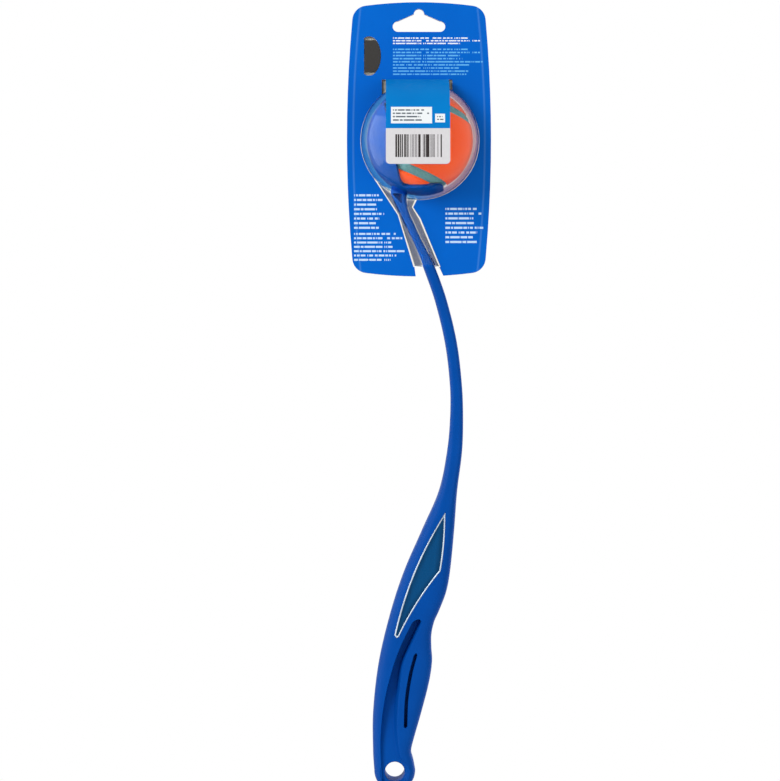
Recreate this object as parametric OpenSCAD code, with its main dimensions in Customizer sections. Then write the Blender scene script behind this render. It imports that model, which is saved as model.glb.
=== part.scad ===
// Dog ball launcher stick with its ball, held in a retail hang card with a clear blister.
// Millimetres. The origin is the middle of the ball in the cup, +Z is up the card,
// +X is the way the cup opens, and -Y is the back of the card, which carries the barcode flap.

/* [Ball] */
// Diameter of the ball over its felt
ball_d = 65; // [60:0.5:72]
// Thickness of the felt and of the seam
felt_t = 2.5; // [1.5:0.5:4]
// Wall of the hollow rubber core
core_wall = 4; // [3:0.5:8]
// Width of the seam between the two felt panels
seam_w = 7; // [3:0.5:9]
// Turn of the seam about the card's normal, in degrees
seam_turn = 68; // [0:1:180]

/* [Cup] */
// Gap between the ball and the cup
ball_gap = 0.5; // [0.4:0.1:1]
// Wall of the cup
cup_wall = 1.9; // [1.6:0.1:3]
// Tilt of the mouth above level, in degrees
mouth_tilt = 15; // [5:1:25]
// How far the jaws reach past the middle of the ball
jaw_reach = 5; // [2:0.5:8]
// How far behind the middle of the ball the side walls stop
side_cut = 21; // [16:1:24]
// Half height of the side opening where it starts
side_half = 26; // [20:0.5:28]
// Corner radius of the side opening
side_corner_r = 5; // [3:1:10]

/* [Neck and shaft] */
// Place of the neck's root round the cup, in degrees below level
neck_angle = 116; // [108:1:124]
// Thickness of the neck and shaft, square to the card
shaft_depth = 12.5; // [10:0.5:16]
// Drop from the neck's root to its lower end
neck_len = 29; // [26:1:34]
// Sideways reach of the neck over that drop
neck_reach = 10.7; // [9:0.1:12]
// Width of the neck's lower end
neck_w = 6; // [5:0.5:9]
// Width of the shaft along its plain stretch
shaft_w = 7.6; // [6:0.2:10]
// Drop from the neck's end to the top of the handle
shaft_len = 137; // [90:1:300]
// Sideways reach of the shaft over that drop
shaft_reach = 25.4; // [15:0.2:35]
// Lean of the shaft where it leaves the neck, in degrees
shaft_lean = 27; // [20:1:32]
// Depth of the pocket on each side of the neck's root
neck_pocket_depth = 3; // [1:0.5:4]

/* [Handle] */
// Thickness of the handle, square to the card
handle_depth = 22; // [18:0.5:28]
// Drop from the handle's top to the middle of its hole
handle_len = 202; // [170:1:240]
// Sideways reach of the handle over that drop
handle_reach = 38; // [28:1:48]
// Width of the handle's top, where the shaft runs into it
handle_top_w = 9.5; // [8:0.5:12]
// Width of the handle at the palm swell
palm_w = 33.7; // [30:0.1:40]
// Diameter of the hanging hole
hole_d = 12.4; // [8:0.2:15]
// Radius of the handle's round end about the hole
end_r = 13; // [11:0.5:15]
// Depth of the recess along the spine
recess_depth = 2.5; // [1:0.5:5]
// Width of the slit in the palm swell
slit_w = 2.3; // [1.5:0.1:4]
// Depth of the slit in the palm swell
slit_depth = 3.5; // [1.5:0.5:6]
// Depth of the seat for each handle label
label_seat = 1; // [0.8:0.1:1.5]
// Thickness of each handle label
label_t = 0.6; // [0.3:0.1:0.7]
// Gap round each handle label in its seat
label_gap = 0.15; // [0.1:0.05:0.4]

/* [Card] */
// Width of the card at its widest
card_w = 91.5; // [89:0.5:110]
// Height of the card
card_h = 174; // [172:1:200]
// Height of the card's top above the middle of the ball
card_top = 87.7; // [86:0.1:95]
// Thickness of each card panel
card_t = 0.5; // [0.3:0.1:1]
// How far each long side bows out
side_bow = 3.6; // [1:0.2:6]
// How far the top and bottom bow out
end_bow = 2.6; // [1:0.2:4]
// Corner radius of the card
corner_r = 9.5; // [6:0.5:14]
// Gap between the blister and the edge of the card's window
window_gap = 0.3; // [0.2:0.1:1]
// Height of the notch that the shaft leaves through
notch_h = 6.6; // [4:0.2:9]

/* [Hang slot] */
// Width of the slot over its round ends
slot_w = 33.4; // [30:0.2:38]
// Height of the slot over its centre notch
slot_h = 14.5; // [13:0.5:18]
// Radius of the slot's ends
slot_end_r = 3.4; // [2.5:0.1:4]
// Radius of the slot's centre notch
slot_notch_r = 3.3; // [2.5:0.1:4.5]
// Distance from the card's top to the slot
slot_margin = 4.3; // [4:0.1:8]

/* [Blister] */
// Thickness of the clear film
film_t = 0.4; // [0.3:0.1:0.6]
// Gap between the film and what the dome covers
dome_gap = 3.4; // [2.6:0.1:5]
// Gap between the film and the shaft over the trough's roof
trough_gap = 1.2; // [0.6:0.1:3]
// Distance from the card's edge to the film's edge
film_margin = 4; // [2:0.5:8]

/* [Barcode flap] */
// Width of the flap
flap_w = 39.5; // [34:0.5:44]
// How far the flap's middle is to the left of the dome's
flap_shift = 1.8; // [0:0.2:3]
// How far round the dome the flap bends, in degrees
flap_wrap = 87; // [70:1:90]
// Length of the flap's flat lower part
flap_drop = 22; // [18:0.5:28]
// Gap between the flap and the dome
flap_gap = 0.4; // [0.3:0.1:1]
// Gap at the fold between the flap and the card
fold_gap = 0.2; // [0.1:0.1:0.5]
// Corner radius of the flap's lower end
flap_corner_r = 2.5; // [1:0.5:5]
// Thickness of the barcode label
code_label_t = 0.2; // [0.1:0.1:0.4]

/* [Tag] */
// Height of the tag window
tag_window_h = 24.9; // [20:0.1:28]
// Width of the tag window, from its flat side to its oval one
tag_window_w = 10.8; // [8:0.1:13]
// How far the oval's middle is from the flat side
tag_middle = 3.2; // [2:0.1:4]
// Gap between the tag and the edge of its window
tag_gap = 0.4; // [0.3:0.1:2]
// Height of the tag between its straight ends
tag_h = 20; // [14:0.5:23]
// Thickness of the tag
tag_t = 0.4; // [0.2:0.1:0.5]
// Distance of the tag window's flat side from the card's middle
tag_side = 34.9; // [34:0.1:38]
// Height of the tag window's middle above the middle of the ball
tag_up = 53.6; // [50:0.2:58]

/* [Hidden] */
$fn = 96;

// Running gap that lets the ball slide out between the jaws
jaw_gap = 0.3;
// Gap between glued pieces of the ball
glue_gap = 0.1;
// Reach of cutting tools past what they cut
over = 100;

// Radii about the ball's middle
ball_r = ball_d / 2;
core_r = ball_r - felt_t - glue_gap;
cup_in_r = ball_r + ball_gap;
cup_r = cup_in_r + cup_wall;
// Wall left under the cut at each jaw's tip
jaw_tip_wall = 2.2;

// Place of the neck's root on the cup
neck_x = cup_r * cos(-neck_angle);
neck_below = -cup_r * sin(-neck_angle);

// Place of the neck's lower end, where the shaft begins
shaft_x = neck_x + neck_reach;
shaft_below = neck_below + neck_len;

// Place of the handle's top and of its hole
handle_x = shaft_x + shaft_reach;
handle_below = shaft_below + shaft_len;
hole_x = handle_x - handle_reach;
hole_below = handle_below + handle_len;
hole_r = hole_d / 2;
// Slope of the shaft where it runs into the handle
handle_slope = -0.1;
// Drop over which the shaft's depth grows into the handle's
depth_blend = [-12, 33];
// Roundness of the stick's sections: 2 is an ellipse, more is squarer
section_power = 3.4;

// Edges of the neck: drop below the root, and reach across from it
NECK_LEFT = [[-5, -3], [3, -4.5], [9, -1.7], [20, 3.5]];
NECK_RIGHT = [[-5, 7], [3, 5.8], [9, 6], [15, 7.4], [21, 10.1]];
// Edges of the handle: share of its length, and reach across from the line between its top and its hole,
// as a share of its width at the palm
HANDLE_LEFT = [[0.124, -0.154], [0.248, -0.335], [0.376, -0.525], [0.5, -0.632], [0.658, -0.682],
               [0.817, -0.614], [0.941, -0.475]];
HANDLE_RIGHT = [[0.124, 0.187], [0.248, 0.27], [0.376, 0.338], [0.441, 0.338], [0.5, 0.27],
                [0.535, 0.217], [0.574, 0.211], [0.614, 0.255], [0.658, 0.318], [0.723, 0.335],
                [0.817, 0.297], [0.911, 0.243], [0.941, 0.243], [0.97, 0.318]];
// Edges of the recess along the spine, and the middle of the slit, in the same way
RECESS_LEFT = [[0.522, -0.185], [0.6, -0.328], [0.675, -0.408], [0.777, -0.445], [0.886, -0.395],
               [1.005, -0.249]];
RECESS_RIGHT = [[1.005, 0.252], [0.931, 0.027], [0.832, -0.131], [0.72, -0.205], [0.66, -0.225],
                [0.605, -0.145], [0.522, -0.005]];
SLIT = [[0.635, -0.024], [0.693, -0.05], [0.772, -0.035], [0.855, 0.038]];
// Corners of the handle label, in the same way, and how far its two upper sides bow out and its lower side in
LABEL_TIP = [0.187, 0.03];
LABEL_KINK = [0.372, 0.15];
LABEL_FOOT = [0.579, -0.4];
LABEL_HEEL = [0.572, -0.492];
label_bow = 3.8;
label_swell = 0.9;
label_hollow = 1.5;

// Dome about the cup and ball together
dome_x = -(cup_r - ball_r) / 2;
dome_in_r = (cup_r + ball_r) / 2 + dome_gap;
dome_r = dome_in_r + film_t;
trough_half = shaft_depth / 2 + trough_gap;

// Card, its panels' places, and the end of the trough above the notch
card_x = dome_x - 0.6;
card_bottom = card_h - card_top;
trough_below = card_bottom - notch_h;
card_face = film_t + card_t;

// Flap radii about the dome, its fold line on the card, and its start angle past the card's face
flap_in_r = dome_r + flap_gap;
flap_r = flap_in_r + card_t;
fold_z = flap_r + fold_gap;
flap_start = asin((card_face + 0.1) / flap_in_r);
flap_x = dome_x - flap_shift;
// Relief cut beside the flap's root
relief_w = 2.6;

// Smooth step from 0 to 1
function ease(s) = let(c = min(1, max(0, s))) c * c * (3 - 2 * c);

// Curve through points [drop, across], read at a drop
function slope(p, i) = let(a = max(i - 1, 0), b = min(i + 1, len(p) - 1))
    (p[b][1] - p[a][1]) / (p[b][0] - p[a][0]);
function span(p, d, i = 0) = (i == len(p) - 2 || d <= p[i + 1][0]) ? i : span(p, d, i + 1);
function cubic(x0, x1, m0, m1, s) =
    (2 * s^3 - 3 * s^2 + 1) * x0 + (s^3 - 2 * s^2 + s) * m0 + (3 * s^2 - 2 * s^3) * x1 + (s^3 - s^2) * m1;
function along(p, d) = let(i = span(p, d), h = p[i + 1][0] - p[i][0])
    cubic(p[i][1], p[i + 1][1], slope(p, i) * h, slope(p, i + 1) * h, (d - p[i][0]) / h);

// Smooth open curve through points in the plane
function knot(p, i) = p[min(max(i, 0), len(p) - 1)];
function smooth(p, n = 5) = concat(
    [for (i = [0 : len(p) - 2]) for (k = [0 : n - 1])
        cubic(p[i], p[i + 1], (p[i + 1] - knot(p, i - 1)) / 2, (knot(p, i + 2) - p[i]) / 2, k / n)],
    [p[len(p) - 1]]);

// Point on the handle in the plane of the card, from its share of the length and its reach across
function on_handle(p) = [handle_x + p[1] * palm_w - p[0] * handle_reach, -handle_below - p[0] * handle_len];
function all_on_handle(list) = [for (p = list) on_handle(p)];

// Shaft's middle and width, from 0 at the neck to 1 at the handle
function shaft_mid(s) = cubic(shaft_x, handle_x, tan(shaft_lean) * shaft_len, handle_slope * shaft_len, s);
function shaft_wide(s) = neck_w + (shaft_w - neck_w) * ease(s / 0.18)
    + (handle_top_w - shaft_w) * ease((s - 0.75) / 0.25);

// Both edges of the whole stick
SHAFT_STEPS = [0, 0.08, 0.16, 0.3, 0.5, 0.7, 0.85, 1];
function edge(side, neck, handle) = concat(
    [for (p = neck) [neck_below + p[0], neck_x + p[1]]],
    [for (s = SHAFT_STEPS) [shaft_below + s * shaft_len, shaft_mid(s) + side * shaft_wide(s) / 2]],
    [for (p = handle) [-on_handle(p)[1], on_handle(p)[0]]],
    [[hole_below, hole_x + side * end_r]]);
left_edge = edge(-1, NECK_LEFT, HANDLE_LEFT);
right_edge = edge(1, NECK_RIGHT, HANDLE_RIGHT);

// Half width of the round end, and how its depth closes, past the hole
function end_half(d) = sqrt(end_r^2 - (d - hole_below)^2);
function end_close(d) = d <= hole_below ? 1
    : (1 - ((d - hole_below) / end_r)^section_power)^(1 / section_power);
function stick_left(d) = d <= hole_below ? along(left_edge, d) : hole_x - end_half(d);
function stick_right(d) = d <= hole_below ? along(right_edge, d) : hole_x + end_half(d);
function stick_depth(d) = end_close(d) * (shaft_depth + (handle_depth - shaft_depth)
    * ease((d - handle_below - depth_blend[0]) / (depth_blend[1] - depth_blend[0])));

// Drops at which the stick's sections stand
NECK_RINGS = 10;
SHAFT_RINGS = 18;
HANDLE_RINGS = 58;
END_RINGS = 9;
SIDES = 24;
neck_start = left_edge[0][0];
RINGS = concat(
    [for (i = [0 : NECK_RINGS - 1]) neck_start + (shaft_below - neck_start) * i / NECK_RINGS],
    [for (i = [0 : SHAFT_RINGS - 1]) shaft_below + shaft_len * i / SHAFT_RINGS],
    [for (i = [0 : HANDLE_RINGS - 1]) handle_below + (hole_below - handle_below) * i / HANDLE_RINGS],
    [for (i = [0 : END_RINGS]) hole_below + end_r * sin(87 * i / END_RINGS)]);

// One section of the stick, a squared oval
function power(v) = sign(v) * abs(v)^(2 / section_power);
function section(d) = let(l = stick_left(d), r = stick_right(d), h = stick_depth(d) / 2)
    [for (k = [0 : SIDES - 1]) let(a = 360 * (k + 0.5) / SIDES)
        [(l + r) / 2 + (r - l) / 2 * power(cos(a)), h * power(sin(a)), -d]];

// Solid through all the sections
module stick() {
    n = len(RINGS);
    polyhedron(
        points = [for (d = RINGS) each section(d)],
        faces = concat(
            [[for (k = [SIDES - 1 : -1 : 0]) k]],
            [for (i = [0 : n - 2]) for (k = [0 : SIDES - 1]) let(m = (k + 1) % SIDES)
                each [[i * SIDES + k, i * SIDES + m, (i + 1) * SIDES + m],
                      [i * SIDES + k, (i + 1) * SIDES + m, (i + 1) * SIDES + k]]],
            [[for (k = [0 : SIDES - 1]) (n - 1) * SIDES + k]]));
}

// Flat outline drawn in the plane of the card, given a thickness from one Y to another
module slab(y_low, y_high) {
    translate([0, y_high, 0]) rotate([90, 0, 0]) linear_extrude(y_high - y_low) children();
}

// The same cut into both faces of the stick, down to a floor
module both_faces(floor_y) {
    for (y = [floor_y, -floor_y - over]) slab(y, y + over) children();
}

// What the side openings and the mouth take away from the cup
module mouth_cut() {
    tip = cup_in_r + cup_wall - jaw_tip_wall;
    rotate([0, -mouth_tilt, 0]) slab(-over, over)
        offset(r = side_corner_r) offset(delta = -side_corner_r) polygon([
            [-side_cut, -side_half], [jaw_reach, -tip], [jaw_reach, -over], [over, -over],
            [over, over], [jaw_reach, over], [jaw_reach, tip], [-side_cut, side_half]]);
}

// The way out of the ball, between the jaws
module ball_way() {
    rotate([0, 90 - mouth_tilt, 0]) cylinder(r = ball_r + jaw_gap, h = over);
}

// Three cornered pocket on the neck's root
module neck_pocket() {
    translate([neck_x, -neck_below]) polygon([[-3.6, -3], [2.4, -3], [2.4, -9]]);
}

// Recess along the spine, rounded at its top, which ends round the hole
recess_corner_r = palm_w * 0.06;
recess_end_r = palm_w * (RECESS_RIGHT[0][1] - RECESS_LEFT[5][1]) / 2;
module recess_outline() {
    offset(r = recess_corner_r) offset(delta = -recess_corner_r)
        polygon(concat(smooth(all_on_handle(RECESS_LEFT)), smooth(all_on_handle(RECESS_RIGHT))));
    translate([hole_x, -hole_below]) circle(r = recess_end_r);
}

// Slit in the palm swell, along a smooth curve
module slit_outline() {
    line = smooth(all_on_handle(SLIT));
    last = len(line) - 1;
    polygon(concat([for (p = line) p - [slit_w / 2, 0]],
                   [for (i = [last : -1 : 0]) line[i] + [slit_w / 2, 0]]));
    for (p = [line[0], line[last]]) translate(p) circle(d = slit_w);
}

// Line from one point towards another that bows out to its left
function bowed(from, to, by) = let(run = to - from, out = [-run[1], run[0]] / norm(run))
    [for (s = [0 : 0.125 : 0.875]) from + s * run + out * by * 4 * s * (1 - s)];

// Long leaf shape of the handle label, with bowed upper sides and a hollow lower side
module label_outline() {
    tip = on_handle(LABEL_TIP);
    foot = on_handle(LABEL_FOOT);
    kink = on_handle(LABEL_KINK);
    polygon(concat(bowed(on_handle(LABEL_HEEL), tip, label_bow), bowed(tip, kink, label_swell),
                   bowed(kink, foot, -label_hollow), [foot]));
}

module launcher_body() {
    color("royalblue") difference() {
        union() {
            difference() {
                sphere(r = cup_r);
                mouth_cut();
            }
            stick();
        }
        sphere(r = cup_in_r);
        ball_way();
        both_faces(shaft_depth / 2 - neck_pocket_depth) neck_pocket();
        both_faces(handle_depth / 2 - recess_depth) recess_outline();
        both_faces(handle_depth / 2 - slit_depth) slit_outline();
        both_faces(handle_depth / 2 - label_seat) label_outline();
        translate([hole_x, 0, -hole_below]) rotate([90, 0, 0])
            cylinder(r = hole_r, h = 2 * over, center = true);
    }
}

// Flat label that lies in its seat on one face of the handle
module handle_label() {
    floor_y = handle_depth / 2 - label_seat;
    color("darkcyan") slab(-floor_y - label_t, -floor_y) offset(delta = -label_gap) label_outline();
}

module handle_label_back() {
    handle_label();
}

module handle_label_front() {
    mirror([0, 1, 0]) handle_label();
}

// The ball's own frame: its two seam lobes lie along local X, its waist faces the flap
module in_ball() {
    rotate([0, -seam_turn, 0]) rotate([-90, 0, 0]) children();
}

// Half of the seam's width and its glue gap, as angles at the ball's middle
seam_half = asin(seam_w / 2 / ball_r);
seam_gap = asin(glue_gap / ball_r);

// Slice of the felt's ring between two angles from the upright axis
module felt_slice(from, to) {
    intersection() {
        difference() {
            circle(r = ball_r);
            circle(r = ball_r - felt_t);
        }
        polygon(concat([[0, 0]], [for (a = [from, (from + to) / 2, to]) 2 * ball_r * [sin(a), cos(a)]]));
    }
}

// That slice spun half way round the upright axis, on the +X side
module felt_zone(from, to) {
    rotate([0, 0, -90]) rotate_extrude(angle = 180) felt_slice(from, to);
}

// One dog bone panel of felt: a waist over the top and a lobe at each end
module felt_panel() {
    lobe = 45 - seam_half - seam_gap;
    rotate([-90, 0, 0]) rotate([0, 0, -90]) felt_zone(90 - lobe, 90 + lobe);
    for (turn = [0, 180]) rotate([0, 0, turn]) rotate([0, 90, 0]) felt_zone(0, lobe);
}

module felt_panel_a() {
    color("orangered") in_ball() felt_panel();
}

module felt_panel_b() {
    color("orangered") in_ball() rotate([180, 0, 90]) felt_panel();
}

// The seam runs round four half circles, each 45 degrees from its own axis
SEAM_STEPS = 36;
SEAM_AXES = [[1, 0, 0], [0, -1, 0], [-1, 0, 0], [0, 1, 0]];
SEAM_STARTS = [[0, 1, 0], [1, 0, 0], [0, -1, 0], [-1, 0, 0]];
function on_ring(axis, start, open, turn) =
    cos(open) * axis + sin(open) * (cos(turn) * start + sin(turn) * cross(axis, start));
function seam_point(k, turn, side) = let(way = k % 2 == 0 ? -1 : 1)
    on_ring(SEAM_AXES[k], SEAM_STARTS[k], 45 + way * side * seam_half, way * turn);

// Section of the seam at one place: across the outside one way, across the inside back
SEAM_SIDES = [1, 0, -1];
function seam_ring(k, turn) = let(n = len(SEAM_SIDES)) concat(
    [for (i = [0 : n - 1]) ball_r * seam_point(k, turn, SEAM_SIDES[i])],
    [for (i = [n - 1 : -1 : 0]) (ball_r - felt_t) * seam_point(k, turn, SEAM_SIDES[i])]);

module ball_seam() {
    rings = [for (k = [0 : 3]) for (i = [0 : SEAM_STEPS - 1]) seam_ring(k, 180 * i / SEAM_STEPS)];
    n = len(rings);
    w = len(rings[0]);
    color("cadetblue") in_ball() polyhedron(
        points = [for (ring = rings) each ring],
        faces = [for (i = [0 : n - 1]) for (k = [0 : w - 1]) let(j = (i + 1) % n, m = (k + 1) % w)
            each [[i * w + k, i * w + m, j * w + m], [i * w + k, j * w + m, j * w + k]]]);
}

// Upper or lower half of space in the ball's frame
module half_space(up) {
    translate([-over, -over, up ? 0 : -over]) cube([2 * over, 2 * over, over]);
}

// Half shell of the hollow rubber core
module core_half(up) {
    color("dimgray") in_ball() intersection() {
        difference() {
            sphere(r = core_r);
            sphere(r = core_r - core_wall);
        }
        half_space(up);
    }
}

module ball_core_half_a() {
    core_half(true);
}

module ball_core_half_b() {
    core_half(false);
}

// Card outline: four bowed sides and round corners
module card_outline(inset = 0) {
    half_w = card_w / 2 - inset - corner_r;
    half_h = card_h / 2 - inset - corner_r;
    side_arc_r = (half_h^2 + side_bow^2) / (2 * side_bow);
    end_arc_r = (half_w^2 + end_bow^2) / (2 * end_bow);
    translate([card_x, card_top - card_h / 2]) offset(r = corner_r) intersection_for(side = [-1, 1]) {
        intersection() {
            translate([side * (half_w - side_arc_r), 0]) circle(r = side_arc_r, $fn = 360);
            translate([0, side * (half_h - end_arc_r)]) circle(r = end_arc_r, $fn = 360);
        }
    }
}

// Hang slot with a round centre notch, sloping shoulders and round ends
module slot_outline() {
    end_x = slot_w / 2 - slot_end_r;
    translate([card_x, card_top - slot_margin - slot_h]) {
        for (side = [-1, 1]) translate([side * end_x, slot_end_r]) circle(r = slot_end_r);
        polygon([[-end_x, 0], [end_x, 0], [end_x, 2 * slot_end_r], [slot_notch_r, slot_h - slot_notch_r],
                 [-slot_notch_r, slot_h - slot_notch_r], [-end_x, 2 * slot_end_r]]);
        translate([0, slot_h - slot_notch_r]) circle(r = slot_notch_r);
    }
}

// Trough over the neck, from the dome to the notch in the card
shaft_at_notch = shaft_mid((trough_below - shaft_below) / shaft_len);
module trough_outline() {
    polygon([[neck_x - 13.7, -neck_below + 6.3], [neck_x + 0.7, -neck_below - 15.7],
             [shaft_at_notch - 9, -trough_below], [shaft_at_notch + 6.6, -trough_below],
             [neck_x + 14, -neck_below - 18.7], [neck_x + 9, -neck_below - 11],
             [neck_x + 15.3, -neck_below + 1.3]]);
}

// Notch in the card's bottom edge, where the shaft leaves
module notch_outline() {
    polygon([[shaft_at_notch - 9, -trough_below], [shaft_at_notch + 6.6, -trough_below],
             [shaft_at_notch + 10, -card_bottom - 1], [shaft_at_notch - 8, -card_bottom - 1]]);
}

// Outline of the dome and trough together, in the plane of the card
module bubble_outline(grow) {
    translate([dome_x, 0]) circle(r = dome_in_r + grow);
    offset(delta = grow) trough_outline();
}

// Solid space inside the dome and trough, grown by the film for its outside
module bubble(grow) {
    translate([dome_x, 0, 0]) rotate([90, 0, 0]) sphere(r = dome_in_r + grow);
    slab(-trough_half - grow, trough_half + grow) offset(delta = grow) trough_outline();
}

// Half of the blister on one side of the card: dome, trough and flange of one film
module blister(back) {
    color("lightcyan", 0.4) difference() {
        union() {
            intersection() {
                difference() {
                    bubble(film_t);
                    bubble(0);
                }
                translate([-over, back ? -over : 0, -trough_below]) cube([2 * over, over, 2 * over]);
            }
            slab(back ? -film_t : 0, back ? 0 : film_t) difference() {
                card_outline(film_margin);
                bubble_outline(0);
            }
        }
        slab(-over, over) {
            notch_outline();
            offset(delta = 1) slot_outline();
        }
    }
}

module blister_back() {
    blister(true);
}

module blister_front() {
    blister(false);
}

// Card panel with its window, notch and hang slot, on the back face
module card_panel() {
    color("dodgerblue") slab(-card_face, -film_t) difference() {
        card_outline();
        slot_outline();
        notch_outline();
        bubble_outline(film_t + window_gap);
        children();
    }
}

// Oval window with a flat left side, or the same shape with a gap all round
module tag_outline(gap = 0) {
    oval_r = tag_window_w - tag_middle;
    translate([card_x - tag_side, tag_up]) offset(delta = -gap) intersection() {
        translate([tag_middle, 0]) scale([oval_r, tag_window_h / 2]) circle(r = 1);
        translate([0, -tag_window_h]) square(2 * tag_window_h);
    }
}

// Back panel, with the flap's cut-out and the tag window
module card_back() {
    card_panel() {
        translate([flap_x - flap_w / 2 - relief_w, 0]) square([flap_w + 2 * relief_w, fold_z]);
        tag_outline();
    }
}

module card_front() {
    mirror([0, 1, 0]) card_panel();
}

// Flat stretch of the flap stands in this frame as if it hung straight below the dome's middle
module on_flap_end() {
    translate([flap_x, 0, 0]) rotate([flap_wrap - 90, 0, 0]) children();
}

// Flap profile: an arc over the dome, then straight down
function flap_line(r) = concat(
    [for (k = [0 : 16]) let(a = flap_start + (flap_wrap - flap_start) * k / 16) [-r * sin(a), r * cos(a)]],
    [[-r * sin(flap_wrap) - flap_drop * cos(flap_wrap), r * cos(flap_wrap) - flap_drop * sin(flap_wrap)]]);

// Waste outside the two round corners at the flap's lower end
module flap_corners(r) {
    for (side = [-1, 1]) translate([side * (flap_w / 2 - r), -flap_drop + r]) difference() {
        translate([side > 0 ? 0 : -r - 1, -r - 1]) square(r + 1);
        circle(r = r);
    }
}

module barcode_flap() {
    inner = flap_line(flap_in_r);
    outer = flap_line(flap_r);
    color("deepskyblue") difference() {
        translate([flap_x - flap_w / 2, 0, 0]) rotate([90, 0, 90]) linear_extrude(flap_w)
            polygon(concat(inner, [for (i = [len(outer) - 1 : -1 : 0]) outer[i]]));
        on_flap_end() slab(-flap_r - 1, -flap_in_r + 1) flap_corners(flap_corner_r);
    }
}

// White label on the flat end of the flap
module barcode_label() {
    color("whitesmoke") on_flap_end() slab(-flap_r - code_label_t, -flap_r) difference() {
        translate([-flap_w / 2, -flap_drop]) square([flap_w, flap_drop]);
        flap_corners(flap_corner_r);
    }
}

// Dark tag on the film, behind the tag window
module tag_plate() {
    color("dimgray") slab(-film_t - tag_t, -film_t) intersection() {
        tag_outline(tag_gap);
        translate([card_x - tag_side, tag_up - tag_h / 2]) square([tag_window_w, tag_h]);
    }
}

launcher_body();
handle_label_back();
handle_label_front();
ball_core_half_a();
ball_core_half_b();
felt_panel_a();
felt_panel_b();
ball_seam();
card_back();
card_front();
blister_back();
blister_front();
barcode_flap();
barcode_label();
tag_plate();
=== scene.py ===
import math

import bpy
import numpy as np
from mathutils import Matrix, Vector


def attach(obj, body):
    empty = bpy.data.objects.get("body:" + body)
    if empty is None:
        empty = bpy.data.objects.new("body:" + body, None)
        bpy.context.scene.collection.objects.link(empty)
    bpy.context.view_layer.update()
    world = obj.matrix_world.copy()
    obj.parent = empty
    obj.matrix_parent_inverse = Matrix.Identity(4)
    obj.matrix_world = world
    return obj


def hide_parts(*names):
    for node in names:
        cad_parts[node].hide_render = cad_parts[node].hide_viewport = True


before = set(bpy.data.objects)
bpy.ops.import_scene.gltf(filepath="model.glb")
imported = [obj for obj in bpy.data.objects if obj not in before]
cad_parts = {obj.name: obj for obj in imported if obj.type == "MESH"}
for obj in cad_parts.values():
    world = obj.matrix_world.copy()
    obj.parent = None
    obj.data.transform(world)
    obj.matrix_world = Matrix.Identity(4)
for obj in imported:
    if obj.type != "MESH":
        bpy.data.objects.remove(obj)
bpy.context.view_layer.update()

# Camera: it looks square on at the back of the hang card from a little over a metre away.
# The card is at the top of the frame, and the end of the handle runs out of its lower edge.
CAMERA_PLACE = (-0.0202, -1.1, -0.1588)
CAMERA_LENS = 79.8
bpy.ops.object.camera_add(location=CAMERA_PLACE, rotation=(math.radians(90), 0, 0))
camera = bpy.context.object
camera.name = "camera"
camera.data.lens = CAMERA_LENS
bpy.context.scene.camera = camera
bpy.context.scene.view_settings.view_transform = "Standard"


# Launcher: one moulding of satin blue plastic, a ball cup with two jaws on a long curved stick.
# The handle has a scooped recess along its spine, a slit in the palm swell and a hanging hole.
# It is shot in a two part mould, which leaves a fine parting line round its silhouette.
MM = 0.001
CUP_R = 34.9
CUP_WALL = 1.9
NECK_ROOT = (-15.3, 31.37)
SHAFT_TOP = (-4.6, 60.37)
HANDLE_TOP = (20.8, 197.37)
HANDLE_LEN = 202
HANDLE_REACH = 38
PALM_W = 33.7
HOLE = (HANDLE_TOP[0] - HANDLE_REACH, HANDLE_TOP[1] + HANDLE_LEN)
HOLE_R = 6.2
END_R = 13
SHAFT_DEPTH = 12.5
HANDLE_DEPTH = 22
SECTION_POWER = 3.4
# The stick starts to deepen this far above the handle's top, and takes this run for it
DEEPEN_ABOVE, DEEPEN_RUN = 12, 45
# The shaft's lean at its top, its slope at the handle, and its width with what it gains at each end
SHAFT_LEAN, SHAFT_END_SLOPE = math.radians(27), -0.1
SHAFT_W, SHAFT_TOP_GAIN, SHAFT_END_GAIN = 6, 1.6, 1.9
SHAFT_SHARES = (0, 0.08, 0.16, 0.3, 0.5, 0.7, 0.85, 1)

# Edges of the neck, from its root: drop and reach across, in millimetres
NECK_LEFT = [(-5, -3), (3, -4.5), (9, -1.7), (20, 3.5)]
NECK_RIGHT = [(-5, 7), (3, 5.8), (9, 6), (15, 7.4), (21, 10.1)]
# Edges of the handle: share of its length, and reach across from the line between its top and its hole,
# as a share of its width at the palm
HANDLE_LEFT = [(0.124, -0.154), (0.248, -0.335), (0.376, -0.525), (0.5, -0.632), (0.658, -0.682),
               (0.817, -0.614), (0.941, -0.475)]
HANDLE_RIGHT = [(0.124, 0.187), (0.248, 0.27), (0.376, 0.338), (0.441, 0.338), (0.5, 0.27),
                (0.535, 0.217), (0.574, 0.211), (0.614, 0.255), (0.658, 0.318), (0.723, 0.335),
                (0.817, 0.297), (0.911, 0.243), (0.941, 0.243), (0.97, 0.318)]
RECESS_LEFT = [(0.522, -0.185), (0.6, -0.328), (0.675, -0.408), (0.777, -0.445), (0.886, -0.395),
               (1.005, -0.249)]
RECESS_RIGHT = [(0.522, -0.005), (0.605, -0.145), (0.66, -0.225), (0.72, -0.205), (0.832, -0.131),
                (0.931, 0.027), (1.005, 0.252)]
SLIT = [(0.635, -0.024), (0.693, -0.05), (0.772, -0.035), (0.855, 0.038)]
LABEL_TIP, LABEL_KINK = (0.187, 0.03), (0.372, 0.15)
LABEL_FOOT, LABEL_HEEL = (0.579, -0.4), (0.572, -0.492)
LABEL_BOW, LABEL_SWELL, LABEL_HOLLOW, LABEL_FOOT_ROUND = 3.8, 0.9, 1.5, 0.4
LABEL_SEAT = 1.0
LABEL_FLOOR = HANDLE_DEPTH / 2 - LABEL_SEAT


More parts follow.
